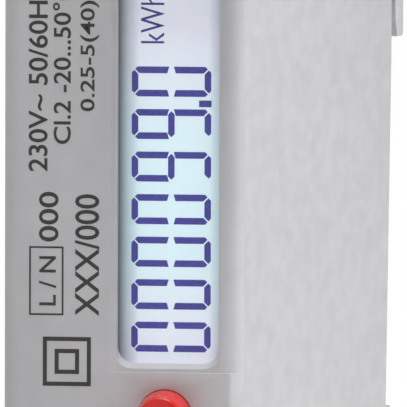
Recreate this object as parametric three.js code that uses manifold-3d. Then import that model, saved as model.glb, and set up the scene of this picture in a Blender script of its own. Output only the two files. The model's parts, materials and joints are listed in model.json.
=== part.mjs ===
// One-module smart electric meter for a 35 mm top-hat rail, in millimetres.
// +X is right seen from the front, +Y goes back to the rail, +Z is up.
// The origin lies in the rail seat plane, mid-width, on the rail's centre line.

import * as THREE from "three";
import Module from "manifold-3d";
import { mergeVertices } from "three/addons/utils/BufferGeometryUtils.js";

const wasm = await Module();
wasm.setup();

// ---- driving dimensions: fits ----
const SEAM = 0.05;
const FIT = 0.1;
const PAST = 1; // how far a cut runs beyond the surface that it opens
const ROOT = 0.3; // how far two joined shapes run into each other
const CORNER_STEPS = 5;
const FILLET_STEPS = 4;

// ---- the case ----
const WIDTH = 17.5;
const SIDE = WIDTH / 2;
const FACE_Y = -60;
const FACE_HALF = 22.5;
const SHOULDER_Y = -44;
const HALF_HEIGHT = 45;
const REAR_Y = 5;
const SIDE_WALL = 1.3;
const INNER_SIDE = SIDE - SIDE_WALL;
const BACK_WALL = 1.5;
const EDGE_CHAMFER = 0.8;
const LEFT_EDGE_ROUND = 1.3;
const RIGHT_EDGE_ROUND = 0.4;

// ---- front cover ----
const FACE_SLAB = 1.4;
const SHOULDER_SLAB = 1;
const COVER_WALL = 2;
const STEP_WALL = 1.2;
const COVER_INNER_SIDE = INNER_SIDE - SEAM;
const COVER_REAR_Y = SHOULDER_Y + COVER_WALL;
const BEHIND_FACE = FACE_Y + 1;
const BEHIND_SHOULDER = SHOULDER_Y + 0.5;

// ---- display zone, a shallow recess that runs out over the right edge ----
const ZONE = { left: -0.53, depth: 0.33, low: -7.65, high: 20.95, roundX: 7.3, round: 1.5 };
const ZONE_FLOOR_Y = FACE_Y + ZONE.depth;

// ---- display window ----
const WINDOW = { left: -0.45, right: 7, low: -7.03, high: 20.5, radius: 1.2 };
const WINDOW_CHAMFER = 0.38;
const WINDOW_LINING = 1.2;
const WINDOW_LEDGE = { side: 0.35, right: 0.27, frontY: FACE_Y + 0.95, rearY: FACE_Y + 2.6 };
const WINDOW_PANE_THICK = 1;

// ---- pulse lamp ----
const LAMP_X = 3.2;
const LAMP_Z = -10.9;
const LENS = { radius: 2, proud: 2, topRadius: 1.67, topRound: 0.35, flange: 0.5, flangeThick: 0.6 };
const LENS_PLAY = 0.06;

// ---- display stack, from the glass back to its board ----
const GLASS = { x: [-1, 6.95], y: [-57.3, -55.5], z: [-8.4, 20.6] };
const CONTACT_FRONT_Y = GLASS.y[1] + FIT;
const CONTACT_INSET_Z = 1.2;
const CONTACT_LEFT_X = [-0.9, 0.3];
const CONTACT_RIGHT_X = [5.7, 6.9];
const BACKLIGHT = { x: [0.4, 5.6], rearY: -53 };

// ---- rail seat ----
const NOTCH_HALF = 17.8;
const SEAT_HALF = 13.5;
const SEAT_TAPER = 2;
const HOOK = { frontY: 1.8, tipZ: 14.85, leadDeep: 0.55, leadLong: 1.35, round: 0.45 };

// ---- latch ----
const LATCH = { half: 4, ribHalf: 2.7, frontY: 1.5, stepY: 3.6, rearY: 4.7, tipZ: -15.2, gap: 0.3 };
const LATCH_TAIL_Z = -HALF_HEIGHT - 5.5;
const LATCH_BASE_LOW_Z = -HALF_HEIGHT + 0.5;
const LATCH_WINDOW = { half: 1.7, low: -36.3, high: -24 };
const PULL_SLOT = { half: 1.7, above: 1.4, long: 2 };
const PEG = { half: 1.3, rearY: 3.4, low: -36, high: -34.6 };
const SPRING = { wire: 0.22, radius: 0.95, turns: 7, y: 2.75, play: 0.1, sides: 5, stepsPerTurn: 8 };

// ---- terminals: the two sizes of screw clamp ----
const BIG = {
  headRadius: 2.4,
  headTop: -40.9,
  headBottom: -39,
  shankRadius: 1.9,
  tip: -31.3,
  cageWide: 6,
  cageLong: 8,
  cageFront: -34.5,
  cageRear: -23.5,
  cageWall: 1.3,
  cageSide: 0.7,
  barThick: 1,
  slot: 0.9,
  roomFront: -38.3,
  rearPlay: 1,
  sidePlay: 0.15,
};
const SMALL = {
  headRadius: 1.6,
  headTop: -41.5,
  headBottom: -40,
  shankRadius: 1.2,
  tip: -34.1,
  cageWide: 4.2,
  cageLong: 5.2,
  cageFront: -37,
  cageRear: -29.4,
  cageWall: 1,
  cageSide: 0.6,
  barThick: 0.8,
  slot: 0.6,
  roomFront: -39.3,
  rearPlay: 0.4,
  sidePlay: 0.3,
};
const BIG_X = 3.75;
const BIG_Z = 36;
const SMALL_X = 3.1;
const PLUS_Z = -39.3;
const MINUS_Z = -29.8;
const MINUS_DEEPER = 5.6; // how much further back the second small clamp sits
const DRIVER_RADIUS = 3.1;
const THREAD_PLAY = 0.3;
const SCREW = { headRound: 0.25, tipChamfer: 0.5, slotDepth: 1, crossReach: 0.7 };
const BIG_ENTRY = { half: 2.7, y: [-30.3, -24.7], round: 1.2, wallZ: 41, funnel: 0.45, funnelDeep: 0.8 };
const SMALL_ENTRY = { half: 2.3, y: [-33.9, -29.3], round: 0.5 };
const SMALL_ROOM = { below: 0.2, above: 1.6 };
const BLOCK_FRONT_Y = COVER_REAR_Y + FIT;
const BLOCK_REAR_Y = -17;
const BLOCK_INNER_Z = 24.5;
const BLOCK_SIDE = INNER_SIDE - FIT;
const BLOCK_END_WALL = 2.6;

// ---- current path ----
const BAR_HALF = 1.9;
const BIG_BAR_Y = [BIG.tip + FIT, BIG.tip + FIT + BIG.barThick];
const BAR_END_Z = BIG_Z + 4;
const SHUNT = { half: 12, trimZ: 3, trimHalf: 0.4, trimDeep: 0.8 };
const SENSE_WIRE = { radius: 0.4, z: 9, sides: 12 };
const NEUTRAL_TAB = { thick: 1, deep: 4, low: 18, cornerLow: 23.5, cornerHigh: 25 };
const PULSE_BAR = { half: 1.2, below: 2.4, tabFrom: 0.3, tabTo: 1.3 };

// ---- boards ----
const DISPLAY_BOARD = { half: 7.2, tallHalf: 20.8, frontY: -52.5, thick: 1.2 };
const DISPLAY_BOARD_BACK = DISPLAY_BOARD.frontY + DISPLAY_BOARD.thick + SEAM;
const DISPLAY_BOARD_STOP = DISPLAY_BOARD.frontY - SEAM;
const MAIN_BOARD = { left: 5.8, frontY: -49.5, wideFrontY: -41.5, rearY: -4.2, half: 20.9, wideHalf: 23.4 };
const MAIN_BOARD_TAIL = { y: [-40, -22], low: -42.2, high: -20 };
const ON_MAIN_BOARD = MAIN_BOARD.left - SEAM;

const group = new THREE.Group();
group.name = "smart_electric_meter";

// ---------------------------------------------------------------- materials

function material(colour, roughness, metalness = 0) {
  return new THREE.MeshStandardMaterial({ color: colour, roughness, metalness });
}

const CASE_PLASTIC = material(0xbcbabc, 0.55);
const COVER_PLASTIC = material(0xb4b2b2, 0.5);
const BLOCK_PLASTIC = material(0xa4a4a6, 0.6);
const CLEAR_PLASTIC = new THREE.MeshStandardMaterial({
  color: 0xdfe8ee,
  roughness: 0.08,
  transparent: true,
  opacity: 0.35,
});
const DISPLAY_GLASS = material(0xcfdfe6, 0.15);
const LIGHT_GUIDE = material(0xe9f1f5, 0.3);
const FRAME_PLASTIC = material(0xd8dadc, 0.6);
const CONTACT_RUBBER = material(0x2b2b2d, 0.8);
const RED_PLASTIC = material(0xd43434, 0.25);
const LAMP_BODY = material(0xe8d8d4, 0.2);
const BOARD = material(0x1f6b3a, 0.5);
const CHIP = material(0x1c1c1e, 0.6);
const CRYSTAL_CAN = material(0xb9bcc0, 0.3, 1);
const VARISTOR_BLUE = material(0x2d56a8, 0.4);
const FILM_YELLOW = material(0xd8a923, 0.4);
const SLEEVE = material(0x26314a, 0.35);
const LATCH_PLASTIC = material(0x3a3c40, 0.5);
const SPRING_STEEL = material(0x9a9da1, 0.3, 1);
const ZINC_STEEL = material(0xb4b8bd, 0.35, 1);
const COPPER = material(0xb87445, 0.35, 1);
const MANGANIN = material(0x9a8069, 0.4, 1);

// ---------------------------------------------------------------- geometry helpers

// Turns a closed geometry into a solid for the boolean operations.
function solid(geometry) {
  const bare = geometry.clone();
  bare.deleteAttribute("normal");
  bare.deleteAttribute("uv");
  const welded = mergeVertices(bare, 1e-4);
  const mesh = new wasm.Mesh({
    numProp: 3,
    vertProperties: new Float32Array(welded.attributes.position.array),
    triVerts: new Uint32Array(welded.index.array),
  });
  return new wasm.Manifold(mesh);
}

function joined(...solids) {
  return solids.reduce((whole, next) => whole.add(next));
}

function without(whole, ...cuts) {
  return cuts.reduce((left, cut) => left.subtract(cut), whole);
}

// Puts a finished solid into the assembly as a named piece.
function piece(name, shape, surface, parent = group) {
  const data = shape.getMesh();
  const geometry = new THREE.BufferGeometry();
  geometry.setAttribute("position", new THREE.BufferAttribute(data.vertProperties, 3));
  geometry.setIndex(new THREE.BufferAttribute(data.triVerts, 1));
  geometry.computeVertexNormals();
  const mesh = new THREE.Mesh(geometry, surface);
  mesh.name = name;
  parent.add(mesh);
  return mesh;
}

function box([x0, x1], [y0, y1], [z0, z1]) {
  const geometry = new THREE.BoxGeometry(x1 - x0, y1 - y0, z1 - z0);
  geometry.translate((x0 + x1) / 2, (y0 + y1) / 2, (z0 + z1) / 2);
  return solid(geometry);
}

function outline(points) {
  return new THREE.Shape(points.map(([a, b]) => new THREE.Vector2(a, b)));
}

// A span and its mirror image below the middle: `way` is 1 for above and -1 for below.
function toward(way, near, far) {
  return way > 0 ? [near, far] : [-far, -near];
}

// The points of an arc that rounds the corner between two straight edges.
function filletedCorner(before, corner, after, radius) {
  const middle = new THREE.Vector2(...corner);
  const toBefore = new THREE.Vector2(...before).sub(middle).normalize();
  const toAfter = new THREE.Vector2(...after).sub(middle).normalize();
  const halfAngle = Math.acos(toBefore.dot(toAfter)) / 2;
  const inward = toBefore.clone().add(toAfter).normalize();
  const centre = middle.clone().addScaledVector(inward, radius / Math.sin(halfAngle));
  const start = middle.clone().addScaledVector(toBefore, radius / Math.tan(halfAngle)).sub(centre);
  const end = middle.clone().addScaledVector(toAfter, radius / Math.tan(halfAngle)).sub(centre);
  const turn = Math.atan2(start.cross(end), start.dot(end));
  return Array.from({ length: FILLET_STEPS + 1 }, (_, i) => {
    const spoke = start.clone().rotateAround(new THREE.Vector2(), (turn * i) / FILLET_STEPS);
    return [centre.x + spoke.x, centre.y + spoke.y];
  });
}

function extruded(shape, depth) {
  return new THREE.ExtrudeGeometry(shape, { depth, bevelEnabled: false, curveSegments: CORNER_STEPS });
}

// An outline drawn in (y, z), as thick as the given span of x.
function prismAlongX(shape, [x0, x1]) {
  const geometry = extruded(shape, x1 - x0);
  geometry.applyMatrix4(new THREE.Matrix4().makeBasis(
    new THREE.Vector3(0, 1, 0),
    new THREE.Vector3(0, 0, 1),
    new THREE.Vector3(1, 0, 0),
  ));
  geometry.translate(x0, 0, 0);
  return solid(geometry);
}

// An outline drawn in (x, y), as tall as the given span of z.
function prismAlongZ(shape, [z0, z1]) {
  const geometry = extruded(shape, z1 - z0);
  geometry.translate(0, 0, z0);
  return solid(geometry);
}

// An outline drawn in (x, z), as deep as the given span of y.
function prismAlongY(shape, [y0, y1]) {
  const geometry = extruded(shape, y1 - y0);
  geometry.rotateX(Math.PI / 2);
  geometry.translate(0, y1, 0);
  return solid(geometry);
}

function roundedRectangle([a0, a1], [b0, b1], radius) {
  const shape = new THREE.Shape();
  shape.moveTo(a0 + radius, b0);
  shape.lineTo(a1 - radius, b0);
  shape.absarc(a1 - radius, b0 + radius, radius, -Math.PI / 2, 0);
  shape.lineTo(a1, b1 - radius);
  shape.absarc(a1 - radius, b1 - radius, radius, 0, Math.PI / 2);
  shape.lineTo(a0 + radius, b1);
  shape.absarc(a0 + radius, b1 - radius, radius, Math.PI / 2, Math.PI);
  shape.lineTo(a0, b0 + radius);
  shape.absarc(a0 + radius, b0 + radius, radius, Math.PI, Math.PI * 1.5);
  return shape;
}

// A turned piece about a line along Y through (x, z); the profile is [radius, y] pairs
// that start and end on the line, from the front to the back.
function turnedAlongY(profile, x, z, sides = 16) {
  const points = profile.map(([radius, y]) => new THREE.Vector2(radius, y));
  const geometry = new THREE.LatheGeometry(points, sides);
  geometry.translate(x, 0, z);
  return solid(geometry);
}

function rod(axis, radius, [start, end], [a, b], sides = 16) {
  const geometry = new THREE.CylinderGeometry(radius, radius, end - start, sides);
  const middle = (start + end) / 2;
  if (axis === "x") {
    geometry.rotateZ(Math.PI / 2);
    geometry.translate(middle, a, b);
  } else if (axis === "y") {
    geometry.translate(a, middle, b);
  } else {
    geometry.rotateX(Math.PI / 2);
    geometry.translate(a, b, middle);
  }
  return solid(geometry);
}

// A cut along Y whose outline grows by `grow` on every side from the back to the front.
function flaredCut([x0, x1], [z0, z1], radius, [frontY, backY], grow) {
  const wide = roundedRectangle([x0 - grow, x1 + grow], [z0 - grow, z1 + grow], radius + grow);
  const narrow = roundedRectangle([x0, x1], [z0, z1], radius);
  return loft(wide.getPoints(CORNER_STEPS), frontY, narrow.getPoints(CORNER_STEPS), backY);
}

// A closed skin between two outlines in (x, z) with the same number of points.
function loft(front, frontY, back, backY) {
  const count = front.length - 1;
  const positions = [];
  const corners = [];
  for (let i = 0; i < count; i += 1) {
    positions.push(front[i].x, frontY, front[i].y);
  }
  for (let i = 0; i < count; i += 1) {
    positions.push(back[i].x, backY, back[i].y);
  }
  for (let i = 0; i < count; i += 1) {
    const next = (i + 1) % count;
    corners.push(i, i + count, next);
    corners.push(next, i + count, next + count);
  }
  for (let i = 1; i < count - 1; i += 1) {
    corners.push(0, i, i + 1);
    corners.push(count, count + i + 1, count + i);
  }
  const geometry = new THREE.BufferGeometry();
  geometry.setAttribute("position", new THREE.Float32BufferAttribute(positions, 3));
  geometry.setIndex(corners);
  return solid(geometry);
}

// ---------------------------------------------------------------- the case

// Side outline of the tub: stepped front, rail notch with its upper hook, plain lower leg.
function tubOutline() {
  const frontY = FACE_Y + FACE_SLAB + SEAM;
  const shoulderY = SHOULDER_Y + SHOULDER_SLAB + SEAM;
  const tipRearY = HOOK.frontY + HOOK.leadDeep + HOOK.round;
  const tipMiddleZ = HOOK.tipZ + HOOK.round;
  const shape = new THREE.Shape();
  shape.moveTo(frontY, FACE_HALF);
  shape.lineTo(frontY, -FACE_HALF);
  shape.lineTo(shoulderY, -FACE_HALF);
  shape.lineTo(shoulderY, -HALF_HEIGHT);
  shape.lineTo(REAR_Y, -HALF_HEIGHT);
  shape.lineTo(REAR_Y, -NOTCH_HALF);
  shape.lineTo(0, -NOTCH_HALF);
  shape.lineTo(0, -SEAT_HALF);
  shape.lineTo(-SEAT_TAPER, -SEAT_HALF);
  shape.lineTo(0, SEAT_HALF);
  shape.lineTo(0, NOTCH_HALF);
  shape.lineTo(HOOK.frontY, NOTCH_HALF);
  shape.lineTo(HOOK.frontY, HOOK.tipZ + HOOK.leadLong);
  shape.absarc(tipRearY, tipMiddleZ, HOOK.round, Math.PI, Math.PI * 1.5);
  shape.absarc(REAR_Y - HOOK.round, tipMiddleZ, HOOK.round, Math.PI * 1.5, Math.PI * 2);
  shape.lineTo(REAR_Y, HALF_HEIGHT);
  shape.lineTo(shoulderY, HALF_HEIGHT);
  shape.lineTo(shoulderY, FACE_HALF);
  return shape;
}

// The T-shaped groove in the lower leg that the latch slides in, open below and at the notch.
function latchChannel() {
  const along = [-HALF_HEIGHT - PAST, -NOTCH_HALF + PAST];
  const half = LATCH.half + LATCH.gap;
  const ribHalf = LATCH.ribHalf + LATCH.gap;
  const deep = box([-half, half], [LATCH.frontY - LATCH.gap, LATCH.stepY + LATCH.gap], along);
  const mouth = box([-ribHalf, ribHalf], [LATCH.stepY, REAR_Y + PAST], along);
  return joined(deep, mouth);
}

// The peg on the groove's floor that the latch spring stands on.
function springPeg() {
  const floorY = LATCH.frontY - LATCH.gap;
  return box([-PEG.half, PEG.half], [floorY - ROOT, PEG.rearY], [PEG.low, PEG.high]);
}

function rearHousing() {
  const across = [-INNER_SIDE, INNER_SIDE];
  const whole = prismAlongX(tubOutline(), [-SIDE, SIDE]);
  const frontRoom = box(
    across,
    [FACE_Y - PAST, BLOCK_REAR_Y + FIT],
    [-HALF_HEIGHT - PAST, HALF_HEIGHT + PAST],
  );
  const middleRoom = box(
    across,
    [BLOCK_REAR_Y, -SEAT_TAPER - BACK_WALL],
    [-HALF_HEIGHT + BACK_WALL, HALF_HEIGHT - BACK_WALL],
  );
  const upperRoom = box(
    across,
    [-SEAT_TAPER - BACK_WALL - PAST, REAR_Y - BACK_WALL],
    [NOTCH_HALF + BACK_WALL, HALF_HEIGHT - BACK_WALL],
  );
  return joined(without(whole, frontRoom, middleRoom, upperRoom, latchChannel()), springPeg());
}

// The front corner of a slab's end in (y, z), cut by the chamfer or left square where it is 0.
// `inward` is 1 at the low end and -1 at the high end.
function endCorner(frontY, z, inward, chamfer) {
  if (chamfer === 0) {
    return [[frontY, z]];
  }
  return [
    [frontY, z + inward * chamfer],
    [frontY + chamfer, z],
  ];
}

// A slab across the full width with its long edges chamfered; ends chamfered on request.
function chamferedSlab(frontY, depth, [z0, z1], [lowChamfer, highChamfer]) {
  const backY = frontY + depth;
  const leftEdge = [-SIDE + EDGE_CHAMFER, frontY];
  const rightEdge = [SIDE - EDGE_CHAMFER, frontY];
  const leftLow = [-SIDE, frontY + EDGE_CHAMFER];
  const rightLow = [SIDE, frontY + EDGE_CHAMFER];
  const acrossOutline = outline([
    ...filletedCorner(leftLow, leftEdge, rightEdge, LEFT_EDGE_ROUND),
    ...filletedCorner(leftEdge, rightEdge, rightLow, RIGHT_EDGE_ROUND),
    rightLow,
    [SIDE, backY],
    [-SIDE, backY],
    leftLow,
  ]);
  const alongOutline = outline([
    ...endCorner(frontY, z0, 1, lowChamfer),
    [backY, z0],
    [backY, z1],
    ...endCorner(frontY, z1, -1, highChamfer).reverse(),
  ]);
  const long = prismAlongZ(acrossOutline, [z0, z1]);
  const wide = prismAlongX(alongOutline, [-SIDE, SIDE]);
  return long.intersect(wide);
}

// The cut that forms the shallow display zone: a slope on its left, a flat floor,
// and a rounded right edge that runs out through the side chamfer.
function displayZoneCut() {
  const turn = Math.PI / 4;
  const above = 0.1;
  const endX = ZONE.roundX + ZONE.round * Math.sin(turn);
  const endY = ZONE_FLOOR_Y + ZONE.round * (1 - Math.cos(turn));
  const out = SIDE + above - endX;
  const shape = new THREE.Shape();
  shape.moveTo(ZONE.left - ZONE.depth - above, FACE_Y - above);
  shape.lineTo(ZONE.left, ZONE_FLOOR_Y);
  shape.absarc(ZONE.roundX, ZONE_FLOOR_Y + ZONE.round, ZONE.round, -Math.PI / 2, -Math.PI / 2 + turn);
  shape.lineTo(endX + out, endY + out);
  shape.lineTo(endX + out, FACE_Y - above);
  return prismAlongZ(shape, [ZONE.low, ZONE.high]);
}

function screwPlaces() {
  return [
    [-BIG_X, BIG_Z],
    [BIG_X, BIG_Z],
    [-BIG_X, -BIG_Z],
    [SMALL_X, PLUS_Z],
    [SMALL_X, MINUS_Z],
  ];
}

// The wall from the face back to the shoulder and the strip under the shoulder, at one end.
function coverStep(way) {
  const across = [-COVER_INNER_SIDE, COVER_INNER_SIDE];
  const wall = box(across, [BEHIND_FACE, COVER_REAR_Y], toward(way, FACE_HALF - STEP_WALL, FACE_HALF));
  const strip = box(
    across,
    [BEHIND_SHOULDER, COVER_REAR_Y],
    toward(way, FACE_HALF - STEP_WALL, HALF_HEIGHT - FIT),
  );
  return joined(wall, strip);
}

// The window's opening, its chamfered rim and the recess behind it for the pane.
function windowCuts() {
  const across = [WINDOW.left, WINDOW.right];
  const along = [WINDOW.low, WINDOW.high];
  const through = [FACE_Y - PAST, WINDOW_LEDGE.rearY + PAST];
  const rimEdge = 0.02;
  const opening = prismAlongY(roundedRectangle(across, along, WINDOW.radius), through);
  const rim = flaredCut(
    [across[0] + rimEdge, across[1]],
    along,
    WINDOW.radius,
    [ZONE_FLOOR_Y - rimEdge, ZONE_FLOOR_Y + WINDOW_CHAMFER],
    WINDOW_CHAMFER,
  );
  const rimLimit = box([across[0], across[1] + FIT], through, [-FACE_HALF, FACE_HALF]);
  const paneRoom = box(
    [across[0] - WINDOW_LEDGE.side, across[1] + WINDOW_LEDGE.right],
    [WINDOW_LEDGE.frontY, WINDOW_LEDGE.rearY + PAST],
    [along[0] - WINDOW_LEDGE.side, along[1] + WINDOW_LEDGE.side],
  );
  return [opening, rim.intersect(rimLimit), paneRoom];
}

function frontCover() {
  const across = [-COVER_INNER_SIDE, COVER_INNER_SIDE];
  const c = EDGE_CHAMFER;
  const face = chamferedSlab(FACE_Y, FACE_SLAB, [-FACE_HALF, FACE_HALF], [c, c]);
  const upper = chamferedSlab(SHOULDER_Y, SHOULDER_SLAB, [FACE_HALF, HALF_HEIGHT], [0, c]);
  const lower = chamferedSlab(SHOULDER_Y, SHOULDER_SLAB, [-HALF_HEIGHT, -FACE_HALF], [c, 0]);
  const lining = box(
    across,
    [BEHIND_FACE, WINDOW_LEDGE.rearY],
    [WINDOW.low - WINDOW_LINING, WINDOW.high + WINDOW_LINING],
  );
  const plate = box(across, [BEHIND_FACE, FACE_Y + COVER_WALL], [-FACE_HALF, FACE_HALF]);
  const body = joined(face, upper, lower, coverStep(1), coverStep(-1), lining, plate);
  const lampHole = rod(
    "y",
    LENS.radius + LENS_PLAY,
    [FACE_Y - PAST, FACE_Y + COVER_WALL + PAST],
    [LAMP_X, LAMP_Z],
    32,
  );
  const driverHoles = screwPlaces().map(([x, z]) =>
    rod("y", DRIVER_RADIUS, [SHOULDER_Y - PAST, COVER_REAR_Y + PAST], [x, z], 20),
  );
  return without(body, displayZoneCut(), ...windowCuts(), lampHole, ...driverHoles);
}

function displayWindow() {
  return box(
    [WINDOW.left - WINDOW_LEDGE.side + SEAM, WINDOW.right + WINDOW_LEDGE.right - SEAM],
    [WINDOW_LEDGE.frontY + SEAM, WINDOW_LEDGE.frontY + WINDOW_PANE_THICK],
    [WINDOW.low - WINDOW_LEDGE.side + SEAM, WINDOW.high + WINDOW_LEDGE.side - SEAM],
  );
}

// ---------------------------------------------------------------- terminal blocks

// A big clamp's pocket: the driver's guide, the screw's neck, the cage's room and the wire entry.
function bigPocket(x, way) {
  const centre = [x, way * BIG_Z];
  const half = BIG.cageWide / 2 + BIG.sidePlay;
  const guide = rod("y", DRIVER_RADIUS, [BLOCK_FRONT_Y - PAST, BIG.headBottom], centre, 20);
  const neck = rod(
    "y",
    BIG.shankRadius + THREAD_PLAY,
    [BIG.headBottom - ROOT, BIG.roomFront + ROOT],
    centre,
  );
  const room = box(
    [x - half, x + half],
    [BIG.roomFront, BIG.cageRear + BIG.rearPlay],
    toward(way, BLOCK_INNER_Z - PAST, BIG_ENTRY.wallZ),
  );
  return joined(guide, neck, room, bigEntry(x, way));
}

function bigEntry(x, way) {
  const { half, y, round, wallZ, funnel, funnelDeep } = BIG_ENTRY;
  const hole = prismAlongZ(
    roundedRectangle([x - half, x + half], y, round),
    toward(way, wallZ - ROOT, HALF_HEIGHT + PAST),
  );
  const mouth = prismAlongZ(
    roundedRectangle([x - half - funnel, x + half + funnel], [y[0] - funnel, y[1] + funnel], round + funnel),
    toward(way, HALF_HEIGHT - funnelDeep, HALF_HEIGHT + PAST),
  );
  return joined(hole, mouth);
}

function terminalBlockTop() {
  const body = box([-BLOCK_SIDE, BLOCK_SIDE], [BLOCK_FRONT_Y, BLOCK_REAR_Y], [BLOCK_INNER_Z, HALF_HEIGHT]);
  return without(body, bigPocket(-BIG_X, 1), bigPocket(BIG_X, 1));
}

// A small pocket is open towards the board on its right and to the front for its screw.
function smallPocket(centreZ, deeper) {
  const left = SMALL_X - SMALL.cageWide / 2 - SMALL.sidePlay;
  const half = SMALL.cageLong / 2;
  const frontY = SMALL.roomFront + deeper;
  const room = box(
    [left, SIDE],
    [frontY, SMALL.cageRear + SMALL.rearPlay + deeper],
    [centreZ - half - SMALL_ROOM.below, centreZ + half + SMALL_ROOM.above],
  );
  const guide = rod("y", DRIVER_RADIUS, [BLOCK_FRONT_Y - PAST, frontY + ROOT], [SMALL_X, centreZ], 20);
  return joined(room, guide);
}

function smallEntry(centreZ, deeper) {
  const { half, y, round } = SMALL_ENTRY;
  return prismAlongZ(
    roundedRectangle([SMALL_X - half, SMALL_X + half], [y[0] + deeper, y[1] + deeper], round),
    [-HALF_HEIGHT - PAST, centreZ - SMALL.cageLong / 2],
  );
}

function terminalBlockBottom() {
  const body = box([-BLOCK_SIDE, BLOCK_SIDE], [BLOCK_FRONT_Y, BLOCK_REAR_Y], [-HALF_HEIGHT, -BLOCK_INNER_Z]);
  const boardRoom = box(
    [MAIN_BOARD.left - FIT * 2, SIDE],
    [BLOCK_FRONT_Y - PAST, BLOCK_REAR_Y + PAST],
    [-HALF_HEIGHT + BLOCK_END_WALL, -BLOCK_INNER_Z + PAST],
  );
  return without(
    body,
    boardRoom,
    bigPocket(-BIG_X, -1),
    smallPocket(PLUS_Z, 0),
    smallPocket(MINUS_Z, MINUS_DEEPER),
    smallEntry(PLUS_Z, 0),
    smallEntry(MINUS_Z, MINUS_DEEPER),
  );
}

// ---------------------------------------------------------------- terminals

// A headed screw with a slot across the whole head and a shorter one across it.
function terminalScrew(kind, x, z, deeper) {
  const top = kind.headTop + deeper;
  const under = kind.headBottom + deeper;
  const tip = kind.tip + deeper;
  const profile = [
    [0, top],
    [kind.headRadius - SCREW.headRound, top],
    [kind.headRadius, top + SCREW.headRound],
    [kind.headRadius, under],
    [kind.shankRadius, under],
    [kind.shankRadius, tip - SCREW.tipChamfer],
    [kind.shankRadius - SCREW.tipChamfer, tip],
    [0, tip],
  ];
  const half = kind.slot / 2;
  const reach = kind.headRadius + PAST;
  const crossReach = kind.headRadius * SCREW.crossReach;
  const depth = [top - PAST, top + SCREW.slotDepth];
  const slot = box([x - reach, x + reach], depth, [z - half, z + half]);
  const cross = box([x - half, x + half], depth, [z - crossReach, z + crossReach]);
  return without(turnedAlongY(profile, x, z), slot, cross);
}

// The box-shaped cage that the screw draws up to squeeze the wire against the bar.
function clampCage(kind, x, z, deeper) {
  const half = kind.cageWide / 2;
  const long = kind.cageLong / 2;
  const front = kind.cageFront + deeper;
  const rear = kind.cageRear + deeper;
  const body = box([x - half, x + half], [front, rear], [z - long, z + long]);
  const room = box(
    [x - half + kind.cageSide, x + half - kind.cageSide],
    [front + kind.cageWall, rear - kind.cageWall],
    [z - long - PAST, z + long + PAST],
  );
  const thread = rod(
    "y",
    kind.shankRadius + THREAD_PLAY,
    [front - PAST, front + kind.cageWall + PAST],
    [x, z],
  );
  return without(body, room, thread);
}

function addTerminal(name, kind, x, z, deeper, bar) {
  const terminal = new THREE.Group();
  terminal.name = name + "_terminal";
  group.add(terminal);
  piece(name + "_screw", terminalScrew(kind, x, z, deeper), ZINC_STEEL, terminal);
  piece(name + "_cage", clampCage(kind, x, z, deeper), ZINC_STEEL, terminal);
  piece(name + "_bar", bar, COPPER, terminal);
}

function lineBar(way) {
  return box(
    [-BIG_X - BAR_HALF, -BIG_X + BAR_HALF],
    BIG_BAR_Y,
    toward(way, SHUNT.half + SEAM, BAR_END_Z),
  );
}

// The neutral bar ends in a tab that stands on the main board.
function neutralBar() {
  const corner = [NEUTRAL_TAB.cornerLow, NEUTRAL_TAB.cornerHigh];
  const tabX = [ON_MAIN_BOARD - NEUTRAL_TAB.thick, ON_MAIN_BOARD];
  const tabY = [BIG_BAR_Y[0], BIG_BAR_Y[0] + NEUTRAL_TAB.deep];
  const straight = box([BIG_X - BAR_HALF, BIG_X + BAR_HALF], BIG_BAR_Y, [corner[0], BAR_END_Z]);
  const tab = box(tabX, tabY, [NEUTRAL_TAB.low, corner[1]]);
  const bridge = box([BIG_X, tabX[1]], BIG_BAR_Y, corner);
  return joined(straight, tab, bridge);
}

function pulseBar(centreZ, deeper) {
  const frontY = SMALL.tip + FIT + deeper;
  const y = [frontY, frontY + SMALL.barThick];
  const left = SMALL_X - PULSE_BAR.half;
  const inner = centreZ + SMALL.cageLong / 2;
  const tabZ = [inner + PULSE_BAR.tabFrom, inner + PULSE_BAR.tabTo];
  const straight = box([left, SMALL_X + PULSE_BAR.half], y, [centreZ - PULSE_BAR.below, tabZ[1]]);
  const tab = box([left, ON_MAIN_BOARD], y, tabZ);
  return joined(straight, tab);
}

// The resistance strip between the line bars, trimmed by two notches in one edge.
function shunt() {
  const x = [-BIG_X - BAR_HALF, -BIG_X + BAR_HALF];
  const strip = box(x, BIG_BAR_Y, [-SHUNT.half, SHUNT.half]);
  const notches = [-1, 1].map((way) =>
    box(
      [x[1] - SHUNT.trimDeep, x[1] + PAST],
      [BIG_BAR_Y[0] - PAST, BIG_BAR_Y[1] + PAST],
      [way * SHUNT.trimZ - SHUNT.trimHalf, way * SHUNT.trimZ + SHUNT.trimHalf],
    ),
  );
  return without(strip, ...notches);
}

function senseWire(z) {
  return rod(
    "x",
    SENSE_WIRE.radius,
    [-BIG_X + BAR_HALF + SEAM, ON_MAIN_BOARD],
    [BIG_BAR_Y[0] + BIG.barThick / 2, z],
    SENSE_WIRE.sides,
  );
}

// ---------------------------------------------------------------- display

function grown([low, high], by) {
  return [low - by, high + by];
}

// The frame that holds the glass, the contact strips and the light guide against the board.
function lcdFrame() {
  const wall = 0.5;
  const ledge = 0.9;
  const frontY = GLASS.y[0] + FIT;
  const x = grown(GLASS.x, FIT);
  const outer = box(
    [GLASS.x[0] - wall, GLASS.x[1] + wall - FIT],
    [frontY, DISPLAY_BOARD_STOP],
    grown(GLASS.z, wall),
  );
  const inner = box(x, [frontY - PAST, DISPLAY_BOARD.frontY + PAST], grown(GLASS.z, -ledge));
  const glassSeat = box(x, [frontY - PAST, GLASS.y[1] + SEAM], grown(GLASS.z, FIT));
  return without(outer, inner, glassSeat);
}

function lcdGlass() {
  return box(GLASS.x, GLASS.y, GLASS.z);
}

function zebraStrip(x) {
  return box(x, [CONTACT_FRONT_Y, DISPLAY_BOARD_STOP], grown(GLASS.z, -CONTACT_INSET_Z));
}

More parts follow.
